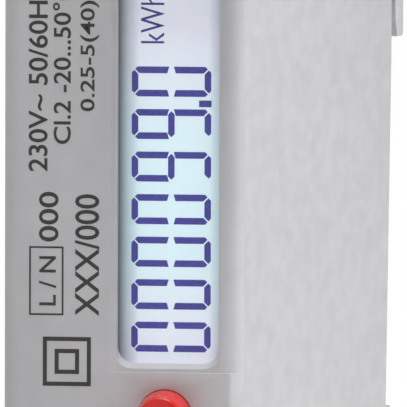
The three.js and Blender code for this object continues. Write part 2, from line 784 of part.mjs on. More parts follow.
function lcdBacklight() {
  return box(BACKLIGHT.x, [CONTACT_FRONT_Y, BACKLIGHT.rearY], grown(GLASS.z, -CONTACT_INSET_Z));
}

// The red lens: a button-shaped front with a rounded rim, and a flange behind the cover.
function lampLens() {
  const flangeY = FACE_Y + COVER_WALL + SEAM;
  const top = FACE_Y - LENS.proud;
  const rimSteps = 3;
  const shoulder = 0.25;
  const profile = [[0, top]];
  for (let step = 0; step <= rimSteps; step += 1) {
    const angle = (step / rimSteps) * (Math.PI / 2);
    profile.push([
      LENS.topRadius - LENS.topRound + LENS.topRound * Math.sin(angle),
      top + LENS.topRound * (1 - Math.cos(angle)),
    ]);
  }
  profile.push(
    [LENS.radius, FACE_Y - shoulder],
    [LENS.radius, flangeY],
    [LENS.radius + LENS.flange, flangeY],
    [LENS.radius + LENS.flange, flangeY + LENS.flangeThick],
    [0, flangeY + LENS.flangeThick],
  );
  return turnedAlongY(profile, LAMP_X, LAMP_Z, 32);
}

// The light-emitting diode behind the lens: domed body, collar and two legs.
function lampBody() {
  const top = FACE_Y + COVER_WALL + 0.8;
  const domeRadius = 1.5;
  const collarRadius = 1.9;
  const collarY = top + 3.4;
  const collarBackY = top + 4.3;
  const leg = { radius: 0.25, apart: 0.6, sides: 8 };
  const profile = [
    [0, top],
    [0.9, top + 0.2],
    [domeRadius, top + 1],
    [domeRadius, collarY],
    [collarRadius, collarY],
    [collarRadius, collarBackY],
    [0, collarBackY],
  ];
  const legs = [-leg.apart, leg.apart].map((z) =>
    rod("y", leg.radius, [collarBackY - ROOT, DISPLAY_BOARD_STOP], [LAMP_X, LAMP_Z + z], leg.sides),
  );
  return joined(turnedAlongY(profile, LAMP_X, LAMP_Z), ...legs);
}

// ---------------------------------------------------------------- boards and components

function displayBoard() {
  const { half, tallHalf, frontY, thick } = DISPLAY_BOARD;
  return box([-half, half], [frontY, frontY + thick], [-tallHalf, tallHalf]);
}

// The main board stands on edge along the right wall; its tail reaches down to the pulse clamps.
function mainBoard() {
  const { left, frontY, wideFrontY, rearY, half, wideHalf } = MAIN_BOARD;
  const x = [left, INNER_SIDE - FIT];
  const main = box(x, [frontY, rearY], [-half, half]);
  const wider = box(x, [wideFrontY, rearY], [-wideHalf, wideHalf]);
  const tail = box(x, MAIN_BOARD_TAIL.y, [MAIN_BOARD_TAIL.low, MAIN_BOARD_TAIL.high]);
  return joined(main, wider, tail);
}

// A chip on the main board with a row of legs out of each long side.
function legChip([x0, x1], [y0, y1], [z0, z1], legCount) {
  const legHalf = 0.2;
  const legReach = 0.9;
  const legRise = 0.8;
  const pitch = (z1 - z0) / legCount;
  const legs = Array.from({ length: legCount }, (_, i) => {
    const z = z0 + pitch * (i + 0.5);
    return box([x1 - legRise, ON_MAIN_BOARD], grown([y0, y1], legReach), [z - legHalf, z + legHalf]);
  });
  return joined(box([x0, x1], [y0, y1], [z0, z1]), ...legs);
}

function meteringChip() {
  return legChip([4.2, 5.6], [-43, -38.4], [-5, 5], 7);
}

function optocoupler() {
  return legChip([2.6, 5.5], [-41, -36.6], [-19, -14.4], 2);
}

// The microcontroller lies on the back of the display board.
function microcontroller() {
  const x = [-5, 2];
  const z = [-17, -10];
  const standOff = 0.1;
  const thick = 1.3;
  const leg = { count: 6, first: 0.9, pitch: 1.04, half: 0.2, reach: 0.7, thick: 0.4 };
  const front = DISPLAY_BOARD_BACK + standOff;
  const legs = Array.from({ length: leg.count }, (_, i) => {
    const centre = z[0] + leg.first + i * leg.pitch;
    return box(
      grown(x, leg.reach),
      [DISPLAY_BOARD_BACK, DISPLAY_BOARD_BACK + leg.thick],
      [centre - leg.half, centre + leg.half],
    );
  });
  return joined(box(x, [front, front + thick], z), ...legs);
}

function quartzCrystal() {
  const can = prismAlongY(roundedRectangle([1.6, 5], [-21, -17.4], 1.5), [-47.5, -45]);
  const base = box([4.6, ON_MAIN_BOARD], [-46.6, -45.9], [-20, -18.4]);
  return joined(can, base);
}

// Two wire legs that run along X from a component's body to the main board.
function boardLegs(radius, fromX, places) {
  const sides = 8;
  return places.map((place) => rod("x", radius, [fromX, ON_MAIN_BOARD], place, sides));
}

function varistor() {
  const centre = [0.9, -14];
  const z = [-16.4, -13];
  const radius = 4.4;
  const legApart = 2.4;
  const legZ = (z[0] + z[1]) / 2;
  const legs = boardLegs(0.35, 3, [
    [centre[1] - legApart, legZ],
    [centre[1] + legApart, legZ],
  ]);
  return joined(rod("z", radius, z, centre, 24), ...legs);
}

function dropperCapacitor() {
  const legs = boardLegs(0.35, 5, [
    [-16, 9.5],
    [-16, 17],
  ]);
  return joined(box([-1, 5.5], [-24, -8], [7.5, 19]), ...legs);
}

function smoothingCapacitor() {
  const centre = [-13, -2.5];
  const radius = 4;
  const legApart = 1.3;
  const legs = boardLegs(0.3, 5, [
    [centre[0], centre[1] - legApart],
    [centre[0], centre[1] + legApart],
  ]);
  return joined(rod("x", radius, [-6, 5.4], centre, 28), ...legs);
}

// The pin header that joins the display board to the main board.
function boardConnector() {
  const half = 6;
  const bodyDeep = 3.6;
  const pin = { count: 5, pitch: 2.5, half: 0.3, left: 4.2, from: 3, to: 5.4 };
  const body = box([3.2, ON_MAIN_BOARD], [DISPLAY_BOARD_BACK, DISPLAY_BOARD_BACK + bodyDeep], [-half, half]);
  const pins = Array.from({ length: pin.count }, (_, i) => {
    const z = (i - (pin.count - 1) / 2) * pin.pitch;
    return box(
      [pin.left, ON_MAIN_BOARD],
      [DISPLAY_BOARD_BACK + pin.from, DISPLAY_BOARD_BACK + pin.to],
      [z - pin.half, z + pin.half],
    );
  });
  return joined(body, ...pins);
}

// ---------------------------------------------------------------- rail latch

// The sprung slide below the rail: a flat base held in the groove, a rib that shows at the
// back, a sloped tip that rides over the rail, a window for the spring and a slot to pull by.
function railLatch() {
  const across = [-LATCH.half - PAST, LATCH.half + PAST];
  const through = [LATCH.frontY - PAST, REAR_Y + PAST];
  const base = box(
    [-LATCH.half, LATCH.half],
    [LATCH.frontY, LATCH.stepY],
    [LATCH_BASE_LOW_Z, LATCH.tipZ],
  );
  const rib = box(
    [-LATCH.ribHalf, LATCH.ribHalf],
    [LATCH.frontY, LATCH.rearY],
    [LATCH_TAIL_Z, LATCH.tipZ],
  );
  const lead = { land: 0.6, long: 2.2, step: 0.1 };
  const slope = prismAlongX(
    outline([
      [LATCH.rearY + PAST, LATCH.tipZ - lead.long],
      [LATCH.rearY + PAST, LATCH.tipZ + PAST],
      [LATCH.frontY + lead.land, LATCH.tipZ + PAST],
      [LATCH.frontY + lead.land, LATCH.tipZ + lead.step],
    ]),
    across,
  );
  const window = box(
    [-LATCH_WINDOW.half, LATCH_WINDOW.half],
    through,
    [LATCH_WINDOW.low, LATCH_WINDOW.high],
  );
  const pullLow = LATCH_TAIL_Z + PULL_SLOT.above;
  const pull = box([-PULL_SLOT.half, PULL_SLOT.half], through, [pullLow, pullLow + PULL_SLOT.long]);
  return without(joined(base, rib), slope, window, pull);
}

class Helix extends THREE.Curve {
  constructor(radius, [low, high], turns, [x, y]) {
    super();
    Object.assign(this, { radius, low, high, turns, x, y });
  }

  getPoint(t, target = new THREE.Vector3()) {
    const angle = t * this.turns * 2 * Math.PI;
    return target.set(
      this.x + this.radius * Math.cos(angle),
      this.y + this.radius * Math.sin(angle),
      this.low + (this.high - this.low) * t,
    );
  }
}

// The compression spring between the peg and the top of the latch's window.
function latchSpring() {
  const { wire, radius, turns, y, play, sides, stepsPerTurn } = SPRING;
  const path = new Helix(radius, [PEG.high + wire + play, LATCH_WINDOW.high - wire - play], turns, [0, y]);
  const section = outline(
    Array.from({ length: sides }, (_, i) => {
      const angle = (i * 2 * Math.PI) / sides;
      return [wire * Math.cos(angle), wire * Math.sin(angle)];
    }),
  );
  return solid(new THREE.ExtrudeGeometry(section, { steps: turns * stepsPerTurn, extrudePath: path }));
}

// ---------------------------------------------------------------- assembly

function addCase() {
  piece("rear_housing", rearHousing(), CASE_PLASTIC);
  piece("front_cover", frontCover(), COVER_PLASTIC);
  piece("display_window", displayWindow(), CLEAR_PLASTIC);
  piece("pulse_lamp_lens", lampLens(), RED_PLASTIC);
  piece("terminal_block_top", terminalBlockTop(), BLOCK_PLASTIC);
  piece("terminal_block_bottom", terminalBlockBottom(), BLOCK_PLASTIC);
}

function addDisplay() {
  piece("lcd_glass", lcdGlass(), DISPLAY_GLASS);
  piece("lcd_frame", lcdFrame(), FRAME_PLASTIC);
  piece("zebra_strip_left", zebraStrip(CONTACT_LEFT_X), CONTACT_RUBBER);
  piece("zebra_strip_right", zebraStrip(CONTACT_RIGHT_X), CONTACT_RUBBER);
  piece("lcd_backlight", lcdBacklight(), LIGHT_GUIDE);
  piece("pulse_lamp", lampBody(), LAMP_BODY);
}

function addElectronics() {
  piece("display_board", displayBoard(), BOARD);
  piece("main_board", mainBoard(), BOARD);
  piece("board_connector", boardConnector(), CHIP);
  piece("microcontroller", microcontroller(), CHIP);
  piece("metering_chip", meteringChip(), CHIP);
  piece("optocoupler", optocoupler(), CHIP);
  piece("quartz_crystal", quartzCrystal(), CRYSTAL_CAN);
  piece("varistor", varistor(), VARISTOR_BLUE);
  piece("dropper_capacitor", dropperCapacitor(), FILM_YELLOW);
  piece("smoothing_capacitor", smoothingCapacitor(), SLEEVE);
}

function addCurrentPath() {
  addTerminal("line_in", BIG, -BIG_X, -BIG_Z, 0, lineBar(-1));
  addTerminal("line_out", BIG, -BIG_X, BIG_Z, 0, lineBar(1));
  addTerminal("neutral", BIG, BIG_X, BIG_Z, 0, neutralBar());
  addTerminal("pulse_plus", SMALL, SMALL_X, PLUS_Z, 0, pulseBar(PLUS_Z, 0));
  addTerminal("pulse_minus", SMALL, SMALL_X, MINUS_Z, MINUS_DEEPER, pulseBar(MINUS_Z, MINUS_DEEPER));
  piece("shunt", shunt(), MANGANIN);
  piece("sense_wire_upper", senseWire(SENSE_WIRE.z), COPPER);
  piece("sense_wire_lower", senseWire(-SENSE_WIRE.z), COPPER);
}

function addLatch() {
  piece("rail_latch", railLatch(), LATCH_PLASTIC);
  piece("latch_spring", latchSpring(), SPRING_STEEL);
}

addCase();
addDisplay();
addElectronics();
addCurrentPath();
addLatch();

export default group;
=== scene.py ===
"""Looks for the one-module smart electric meter: metres, +Z up, the face looks along -Y."""

import json
import math

import bpy
from mathutils import Matrix, Vector


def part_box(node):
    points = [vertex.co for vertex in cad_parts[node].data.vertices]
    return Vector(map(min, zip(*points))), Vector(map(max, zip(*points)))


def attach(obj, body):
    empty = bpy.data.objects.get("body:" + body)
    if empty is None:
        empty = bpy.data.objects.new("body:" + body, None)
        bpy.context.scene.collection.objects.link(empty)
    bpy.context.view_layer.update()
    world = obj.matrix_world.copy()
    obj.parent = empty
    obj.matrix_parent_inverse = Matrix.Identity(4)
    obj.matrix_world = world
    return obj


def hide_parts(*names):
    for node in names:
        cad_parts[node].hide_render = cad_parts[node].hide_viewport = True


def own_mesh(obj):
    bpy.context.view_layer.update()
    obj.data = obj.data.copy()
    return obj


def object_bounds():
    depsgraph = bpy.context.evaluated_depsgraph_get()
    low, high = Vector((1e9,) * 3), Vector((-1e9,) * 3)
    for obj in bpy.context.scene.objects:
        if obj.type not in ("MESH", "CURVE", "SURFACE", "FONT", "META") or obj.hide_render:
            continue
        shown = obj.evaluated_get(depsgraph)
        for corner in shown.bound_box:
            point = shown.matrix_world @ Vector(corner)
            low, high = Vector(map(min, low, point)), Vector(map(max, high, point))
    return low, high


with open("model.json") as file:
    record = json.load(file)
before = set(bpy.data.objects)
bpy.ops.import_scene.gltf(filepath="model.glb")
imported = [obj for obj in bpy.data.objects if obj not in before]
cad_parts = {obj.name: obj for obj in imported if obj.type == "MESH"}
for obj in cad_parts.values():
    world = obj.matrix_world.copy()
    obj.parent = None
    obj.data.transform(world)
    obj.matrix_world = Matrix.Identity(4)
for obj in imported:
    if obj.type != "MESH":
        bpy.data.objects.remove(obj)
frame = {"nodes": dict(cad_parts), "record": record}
cad_low, cad_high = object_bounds()

MM = 0.001
CASE = "case"

# ---- camera ----
CAMERA_AZIMUTH = math.radians(11.3)
CAMERA_ELEVATION = math.radians(2.5)
CAMERA_DISTANCE = 800 * MM
CAMERA_LENS = 986
CAMERA_ROLL = math.radians(0.15)
AIM_RIGHT = 6.0 * MM
AIM_UP = 4.56 * MM

# ---- light: lamps are (name, size, power in watts, place), in metres ----
AMBIENT = 0.132
AMBIENT_COLOUR = (0.97, 0.98, 1.0)
LAMPS = [
    ("light_right", 0.5, 3.6, (0.75, 0.14, 0.12)),
    ("light_left", 0.5, 1.5, (-0.65, 0.5, 0.1)),
    ("light_top", 0.6, 5.8, (0.05, -0.3, 0.8)),
    ("light_front", 0.6, 0.25, (-0.35, -0.9, 0.25)),
]
LAMP_TARGET = (0, -0.03, 0)

# ---- floor ----
FLOOR_HALF = 280 * MM
FLOOR_DROP = 0.4 * MM  # how far below the object at rest the floor lies

# ---- places on the front, worked out from the frame ----
FACE_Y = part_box("front_cover")[0].y
GLASS_LOW, GLASS_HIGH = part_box("lcd_glass")
INK_THICK = 0.012 * MM


# ---------------------------------------------------------------- stage

def add_camera():
    data = bpy.data.cameras.new("camera")
    data.lens = CAMERA_LENS
    data.clip_start = 0.01
    data.clip_end = 20
    camera = bpy.data.objects.new("camera", data)
    bpy.context.scene.collection.objects.link(camera)
    level = math.cos(CAMERA_ELEVATION)
    back = Vector((
        math.sin(CAMERA_AZIMUTH) * level,
        -math.cos(CAMERA_AZIMUTH) * level,
        math.sin(CAMERA_ELEVATION),
    ))
    aim = Vector((AIM_RIGHT, FACE_Y, AIM_UP))
    turn = (-back).to_track_quat("-Z", "Y").to_matrix().to_4x4()
    roll = Matrix.Rotation(CAMERA_ROLL, 4, "Z")
    camera.matrix_world = Matrix.Translation(aim + back * CAMERA_DISTANCE) @ turn @ roll
    bpy.context.scene.camera = camera


def add_world():
    """White behind the object, and a dimmer even light on it."""
    world = bpy.data.worlds.new("world")
    bpy.context.scene.world = world
    world.use_nodes = True
    nodes = world.node_tree.nodes
    links = world.node_tree.links
    nodes.clear()
    seen = nodes.new("ShaderNodeBackground")
    seen.inputs["Color"].default_value = (1, 1, 1, 1)
    seen.inputs["Strength"].default_value = 1.0
    light = nodes.new("ShaderNodeBackground")
    light.inputs["Color"].default_value = (*AMBIENT_COLOUR, 1)
    light.inputs["Strength"].default_value = AMBIENT
    path = nodes.new("ShaderNodeLightPath")
    mix = nodes.new("ShaderNodeMixShader")
    output = nodes.new("ShaderNodeOutputWorld")
    links.new(path.outputs["Is Camera Ray"], mix.inputs["Fac"])
    links.new(light.outputs["Background"], mix.inputs[1])
    links.new(seen.outputs["Background"], mix.inputs[2])
    links.new(mix.outputs["Shader"], output.inputs["Surface"])



def add_light(name, size, power, place):
    data = bpy.data.lights.new(name, "AREA")
    data.shape = "SQUARE"
    data.size = size
    data.energy = power
    lamp = bpy.data.objects.new(name, data)
    lamp.location = place
    aim = Vector(LAMP_TARGET) - Vector(place)
    lamp.rotation_euler = aim.to_track_quat("-Z", "Y").to_euler()
    bpy.context.scene.collection.objects.link(lamp)


def add_lights():
    for name, size, power, place in LAMPS:
        add_light(name, size, power, place)


def add_floor():
    height = cad_low.z - FLOOR_DROP
    around = [(-1, -1), (1, -1), (1, 1), (-1, 1)]
    corners = [(x * FLOOR_HALF, y * FLOOR_HALF, height) for x, y in around]
    mesh = bpy.data.meshes.new("floor")
    mesh.from_pydata(corners, [], [(0, 1, 2, 3)])
    floor = bpy.data.objects.new("floor", mesh)
    bpy.context.scene.collection.objects.link(floor)
    floor.data.materials.append(plain("floor_pale", (0.86, 0.86, 0.86), 0.7))


# ---------------------------------------------------------------- material parts

def new_material(name):
    material = bpy.data.materials.new(name)
    material.use_nodes = True
    shader = material.node_tree.nodes["Principled BSDF"]
    return material, shader


def plain(name, colour, roughness, metallic=0.0):
    material, shader = new_material(name)
    shader.inputs["Base Color"].default_value = (*colour, 1)
    shader.inputs["Roughness"].default_value = roughness
    shader.inputs["Metallic"].default_value = metallic
    return material


def noise(material, per_metre, detail=3.0, stretch=(1, 1, 1)):
    """Noise in the object's own space, with `per_metre` grains to the metre."""
    nodes = material.node_tree.nodes
    links = material.node_tree.links
    place = nodes.new("ShaderNodeTexCoord")
    scale = nodes.new("ShaderNodeMapping")
    scale.inputs["Scale"].default_value = stretch
    texture = nodes.new("ShaderNodeTexNoise")
    texture.inputs["Scale"].default_value = per_metre
    texture.inputs["Detail"].default_value = detail
    links.new(place.outputs["Object"], scale.inputs["Vector"])
    links.new(scale.outputs["Vector"], texture.inputs["Vector"])
    return texture.outputs["Fac"]


def ramp(material, factor, stops):
    nodes = material.node_tree.nodes
    node = nodes.new("ShaderNodeValToRGB")
    elements = node.color_ramp.elements
    while len(elements) < len(stops):
        elements.new(0.5)
    for element, (place, colour) in zip(elements, stops):
        element.position = place
        element.color = (*colour, 1)
    material.node_tree.links.new(factor, node.inputs["Fac"])
    return node.outputs["Color"]


def spread(material, factor, low, high):
    """Maps noise, which stays near its middle, onto low..high."""
    node = material.node_tree.nodes.new("ShaderNodeMapRange")
    node.inputs["From Min"].default_value = 0.3
    node.inputs["From Max"].default_value = 0.7
    node.inputs["To Min"].default_value = low
    node.inputs["To Max"].default_value = high
    material.node_tree.links.new(factor, node.inputs["Value"])
    return node.outputs["Result"]


def mix_colours(material, factor, first, second):
    node = material.node_tree.nodes.new("ShaderNodeMix")
    node.data_type = "RGBA"
    links = material.node_tree.links
    links.new(factor, node.inputs["Factor"])
    for socket, value in ((node.inputs[6], first), (node.inputs[7], second)):
        if isinstance(value, tuple):
            socket.default_value = (*value, 1)
        else:
            links.new(value, socket)
    return node.outputs[2]


def bump(material, shader, height, strength, distance):
    node = material.node_tree.nodes.new("ShaderNodeBump")
    node.inputs["Strength"].default_value = strength
    node.inputs["Distance"].default_value = distance
    links = material.node_tree.links
    links.new(height, node.inputs["Height"])
    links.new(node.outputs["Normal"], shader.inputs["Normal"])


def edge_mask(material, radius):
    """1 on a sharp edge and 0 on a flat: the rounded normal leaves the true one there."""
    nodes = material.node_tree.nodes
    links = material.node_tree.links
    rounded = nodes.new("ShaderNodeBevel")
    rounded.samples = 4
    rounded.inputs["Radius"].default_value = radius
    true = nodes.new("ShaderNodeNewGeometry")
    dot = nodes.new("ShaderNodeVectorMath")
    dot.operation = "DOT_PRODUCT"
    links.new(rounded.outputs["Normal"], dot.inputs[0])
    links.new(true.outputs["Normal"], dot.inputs[1])
    spread_node = nodes.new("ShaderNodeMapRange")
    spread_node.inputs["From Min"].default_value = 0.98
    spread_node.inputs["From Max"].default_value = 0.8
    links.new(dot.outputs["Value"], spread_node.inputs["Value"])
    return spread_node.outputs["Result"]


def scaled(colour, factor):
    return tuple(min(1.0, c * factor) for c in colour)


def scaled_mask(material, mask, amount):
    node = material.node_tree.nodes.new("ShaderNodeMath")
    node.operation = "MULTIPLY"
    node.inputs[1].default_value = amount
    material.node_tree.links.new(mask, node.inputs[0])
    return node.outputs["Value"]


# ---------------------------------------------------------------- materials

def moulded_plastic(name, colour, roughness, mottle=0.05, grain=0.5, edge_highlight=0.12, stretch=(1, 1, 1)):
    """Moulded plastic: cloudy colour, fine skin texture, and a painted highlight that makes sharp edges a
    little lighter.
    """
    material, shader = new_material(name)
    cloud = noise(material, 420, 4.0, stretch)
    fine = noise(material, 3800, 2.0)
    base = mix_colours(
        material,
        spread(material, cloud, 0, 1),
        scaled(colour, 1 - mottle),
        scaled(colour, 1 + mottle),
    )
    # painted highlight: the colour is lightened along sharp edges, where light would catch them
    painted_edge_highlight = scaled_mask(material, edge_mask(material, EDGE_HIGHLIGHT_WIDTH), edge_highlight)
    with_edge_highlight = mix_colours(material, painted_edge_highlight, base, scaled(colour, EDGE_HIGHLIGHT_LIGHTER))
    material.node_tree.links.new(with_edge_highlight, shader.inputs["Base Color"])
    material.node_tree.links.new(
        spread(material, fine, roughness - 0.06, roughness + 0.06), shader.inputs["Roughness"]
    )
    bump(material, shader, fine, grain, 0.02 * MM)
    return material


def metal(name, colour, roughness, stretch=(1, 1, 1)):
    """Plated or drawn metal with a faint grain along one direction."""
    material, shader = new_material(name)
    grain = noise(material, 1800, 4.0, stretch)
    tint = mix_colours(material, spread(material, grain, 0, 1), scaled(colour, 0.9), scaled(colour, 1.06))
    material.node_tree.links.new(tint, shader.inputs["Base Color"])
    shader.inputs["Metallic"].default_value = 1.0
    material.node_tree.links.new(
        spread(material, grain, roughness - 0.08, roughness + 0.1), shader.inputs["Roughness"]
    )
    bump(material, shader, grain, 0.25, 0.01 * MM)
    return material


def clear_plastic(name):
    material, shader = new_material(name)
    haze = noise(material, 300, 2.0)
    shader.inputs["Base Color"].default_value = (0.95, 0.97, 1.0, 1)
    shader.inputs["Alpha"].default_value = 0.045
    material.node_tree.links.new(spread(material, haze, 0.04, 0.09), shader.inputs["Roughness"])
    return material


def display_glass(name):
    """The display glows on its own: cooler in the middle, paler towards both ends, with painted shade
    along both sides.
    """
    material, shader = new_material(name)
    nodes = material.node_tree.nodes
    links = material.node_tree.links
    place = nodes.new("ShaderNodeTexCoord")
    split = nodes.new("ShaderNodeSeparateXYZ")
    along = nodes.new("ShaderNodeMapRange")
    along.inputs["From Min"].default_value = GLASS_LOW.z
    along.inputs["From Max"].default_value = GLASS_HIGH.z
    links.new(place.outputs["Object"], split.inputs["Vector"])
    links.new(split.outputs["Z"], along.inputs["Value"])
    pale = (0.68, 0.70, 0.78)
    cool = (0.61, 0.76, 0.81)
    colour = ramp(material, along.outputs["Result"], [
        (0.08, pale), (0.3, cool), (0.6, cool), (0.85, pale),
    ])
    across = nodes.new("ShaderNodeMapRange")
    across.inputs["From Min"].default_value = GLASS_LOW.x
    across.inputs["From Max"].default_value = GLASS_HIGH.x
    links.new(split.outputs["X"], across.inputs["Value"])
    # painted shade: the glass darkens towards its left and right sides as if the window's walls shadowed
    # it, in its colour and its glow alike
    painted_shade = ramp(material, across.outputs["Result"], [
        (0.03, (0.13, 0.14, 0.15)), (0.11, (0.6, 0.62, 0.63)), (0.22, (1, 1, 1)),
        (0.86, (1, 1, 1)), (0.97, (0.6, 0.62, 0.64)),
    ])
    with_painted_shade = nodes.new("ShaderNodeMix")
    with_painted_shade.data_type = "RGBA"
    with_painted_shade.blend_type = "MULTIPLY"
    with_painted_shade.inputs["Factor"].default_value = 1.0
    links.new(colour, with_painted_shade.inputs[6])
    links.new(painted_shade, with_painted_shade.inputs[7])
    links.new(with_painted_shade.outputs[2], shader.inputs["Base Color"])
    links.new(with_painted_shade.outputs[2], shader.inputs["Emission Color"])
    shader.inputs["Emission Strength"].default_value = 0.62
    links.new(spread(material, noise(material, 500), 0.2, 0.3), shader.inputs["Roughness"])
    return material


def red_lens(name):
    material, shader = new_material(name)
    cloud = noise(material, 500, 2.0)
    tint = mix_colours(material, spread(material, cloud, 0, 1), (0.8, 0.026, 0.022), (0.88, 0.034, 0.028))
    material.node_tree.links.new(tint, shader.inputs["Base Color"])
    material.node_tree.links.new(spread(material, cloud, 0.22, 0.32), shader.inputs["Roughness"])
    shader.inputs["Coat Weight"].default_value = 0.4
    shader.inputs["Coat Roughness"].default_value = 0.12
    shader.inputs["Subsurface Weight"].default_value = 0.05
    shader.inputs["Subsurface Radius"].default_value = (0.002, 0.0004, 0.0004)
    shader.inputs["Subsurface Scale"].default_value = 0.5
    return material


def circuit_board(name):
    """Green mask with paler tracks under it."""
    material, shader = new_material(name)
    nodes = material.node_tree.nodes
    links = material.node_tree.links
    place = nodes.new("ShaderNodeTexCoord")
    tracks = nodes.new("ShaderNodeTexBrick")
    tracks.inputs["Scale"].default_value = 260
    tracks.inputs["Mortar Size"].default_value = 0.035
    tracks.inputs["Color1"].default_value = (0.014, 0.13, 0.045, 1)
    tracks.inputs["Color2"].default_value = (0.018, 0.16, 0.055, 1)
    tracks.inputs["Mortar"].default_value = (0.05, 0.27, 0.1, 1)
    turn = nodes.new("ShaderNodeMapping")
    turn.inputs["Rotation"].default_value = (math.pi / 2, 0, math.pi / 2)
    links.new(place.outputs["Object"], turn.inputs["Vector"])
    links.new(turn.outputs["Vector"], tracks.inputs["Vector"])
    links.new(tracks.outputs["Color"], shader.inputs["Base Color"])
    links.new(spread(material, noise(material, 900), 0.3, 0.42), shader.inputs["Roughness"])
    bump(material, shader, tracks.outputs["Fac"], 0.3, 0.02 * MM)
    return material


def ink(name, colour, roughness=0.6):
    material, shader = new_material(name)
    cloud = noise(material, 2500, 2.0)
    tint = mix_colours(material, spread(material, cloud, 0, 1), scaled(colour, 0.85), scaled(colour, 1.2))
    material.node_tree.links.new(tint, shader.inputs["Base Color"])
    material.node_tree.links.new(
        spread(material, cloud, roughness - 0.05, roughness + 0.05), shader.inputs["Roughness"]
    )
    return material


# painted highlight on sharp edges: the width of the lightened band and how much lighter it is
EDGE_HIGHLIGHT_WIDTH = 0.12 * MM
EDGE_HIGHLIGHT_LIGHTER = 1.25
GREY = (0.64, 0.63, 0.645)
FLOW = (1.7, 0.65, 1.7)  # the case's clouding is longer from front to back than across or up
SLOT_MATERIALS = {
    "case_plastic": lambda n: moulded_plastic(n, GREY, 0.55, mottle=0.06, stretch=FLOW),
    # the cover's edges get a stronger painted highlight, which lights up the rim under the display window
    "cover_plastic": lambda n: moulded_plastic(n, GREY, 0.5, mottle=0.035, edge_highlight=0.45),
    "block_plastic": lambda n: moulded_plastic(n, (0.42, 0.42, 0.43), 0.55),
    "clear_plastic": clear_plastic,
    "display_glass": display_glass,
    "light_guide": lambda n: moulded_plastic(n, (0.83, 0.86, 0.88), 0.3, mottle=0.02, grain=0.1),
    "frame_plastic": lambda n: moulded_plastic(n, (0.72, 0.72, 0.73), 0.5),
    "contact_rubber": lambda n: moulded_plastic(n, (0.022, 0.022, 0.024), 0.75, mottle=0.15),
    "red_plastic": red_lens,
    "lamp_body": lambda n: moulded_plastic(n, (0.75, 0.6, 0.58), 0.15, grain=0.05),
    "board": circuit_board,
    "chip": lambda n: moulded_plastic(n, (0.018, 0.018, 0.02), 0.6, mottle=0.15),
    "crystal_can": lambda n: metal(n, (0.62, 0.63, 0.65), 0.28, (1, 1, 0.15)),
    "varistor_blue": lambda n: moulded_plastic(n, (0.03, 0.11, 0.42), 0.35, grain=0.3),
    "film_yellow": lambda n: moulded_plastic(n, (0.62, 0.36, 0.03), 0.35, grain=0.3),
    "sleeve": lambda n: moulded_plastic(n, (0.02, 0.032, 0.07), 0.3, grain=0.15),
    "latch_plastic": lambda n: moulded_plastic(n, (0.05, 0.052, 0.056), 0.5, mottle=0.1),
    "spring_steel": lambda n: metal(n, (0.5, 0.5, 0.52), 0.3),
    "zinc_steel": lambda n: metal(n, (0.62, 0.64, 0.66), 0.34, (1, 0.2, 1)),
    "copper": lambda n: metal(n, (0.72, 0.38, 0.22), 0.34, (1, 1, 0.15)),
    "manganin": lambda n: metal(n, (0.5, 0.4, 0.31), 0.4, (1, 1, 0.15)),
}


# ---------------------------------------------------------------- CAD nodes

def smooth_by_angle(limit):
    """A node group that smooths faces and keeps the edges sharper than `limit` crisp."""
    group = bpy.data.node_groups.new("smooth_by_angle", "GeometryNodeTree")
    group.interface.new_socket("Geometry", in_out="INPUT", socket_type="NodeSocketGeometry")
    group.interface.new_socket("Geometry", in_out="OUTPUT", socket_type="NodeSocketGeometry")
    nodes = group.nodes
    links = group.links
    start = nodes.new("NodeGroupInput")
    end = nodes.new("NodeGroupOutput")
    faces = nodes.new("GeometryNodeSetShadeSmooth")
    edges = nodes.new("GeometryNodeSetShadeSmooth")
    edges.domain = "EDGE"
    edges.inputs["Shade Smooth"].default_value = False
    angle = nodes.new("GeometryNodeInputMeshEdgeAngle")
    sharp = nodes.new("FunctionNodeCompare")
    sharp.operation = "GREATER_THAN"
    sharp.inputs[1].default_value = limit
    links.new(start.outputs[0], faces.inputs["Geometry"])
    links.new(faces.outputs["Geometry"], edges.inputs["Geometry"])
    links.new(angle.outputs["Unsigned Angle"], sharp.inputs[0])
    links.new(sharp.outputs["Result"], edges.inputs["Selection"])
    links.new(edges.outputs["Geometry"], end.inputs[0])
    return group


SMOOTH = smooth_by_angle(math.radians(30))
# Widths of the rounded edges in millimetres; 0 leaves the edges of that node as they are.
EDGE_WIDTH = {
    "rear_housing": 0.1,
    "front_cover": 0.1,
    "terminal_block_top": 0.1,
    "terminal_block_bottom": 0.1,
    "rail_latch": 0.15,
    "latch_spring": 0,
    "display_window": 0.05,
}
SMALL_EDGE = 0.06


def finish_node(name, node, material):
    node.data.materials.clear()
    node.data.materials.append(material)
    weld = node.modifiers.new("weld", "WELD")
    weld.merge_threshold = 0.001 * MM
    width = EDGE_WIDTH.get(name, SMALL_EDGE)
    if width:
        flat = node.modifiers.new("flat", "DECIMATE")
        flat.decimate_type = "DISSOLVE"
        flat.angle_limit = math.radians(0.3)
        edge = node.modifiers.new("edge", "BEVEL")
        edge.width = width * MM
        edge.segments = 2
        edge.limit_method = "ANGLE"
        edge.angle_limit = math.radians(35)
        edge.use_clamp_overlap = True
    smooth = node.modifiers.new("smooth", "NODES")
    smooth.node_group = SMOOTH


def finish_cad():
    materials = {slot: build(slot) for slot, build in SLOT_MATERIALS.items()}
    for part in frame["record"]["subparts"]:
        name = part["node"]
        finish_node(name, frame["nodes"][name], materials[part["material_slot"]])
    return materials


# ---------------------------------------------------------------- latch spring

COIL_Y = 2.75 * MM
COIL_RADIUS = 0.95 * MM
COIL_WIRE = 0.22 * MM  # radius of the wire
COIL_LOW = -34.28 * MM
COIL_HIGH = -24.32 * MM
COIL_TURNS = 7
STEPS_PER_TURN = 24
WIRE_SIDES = 10


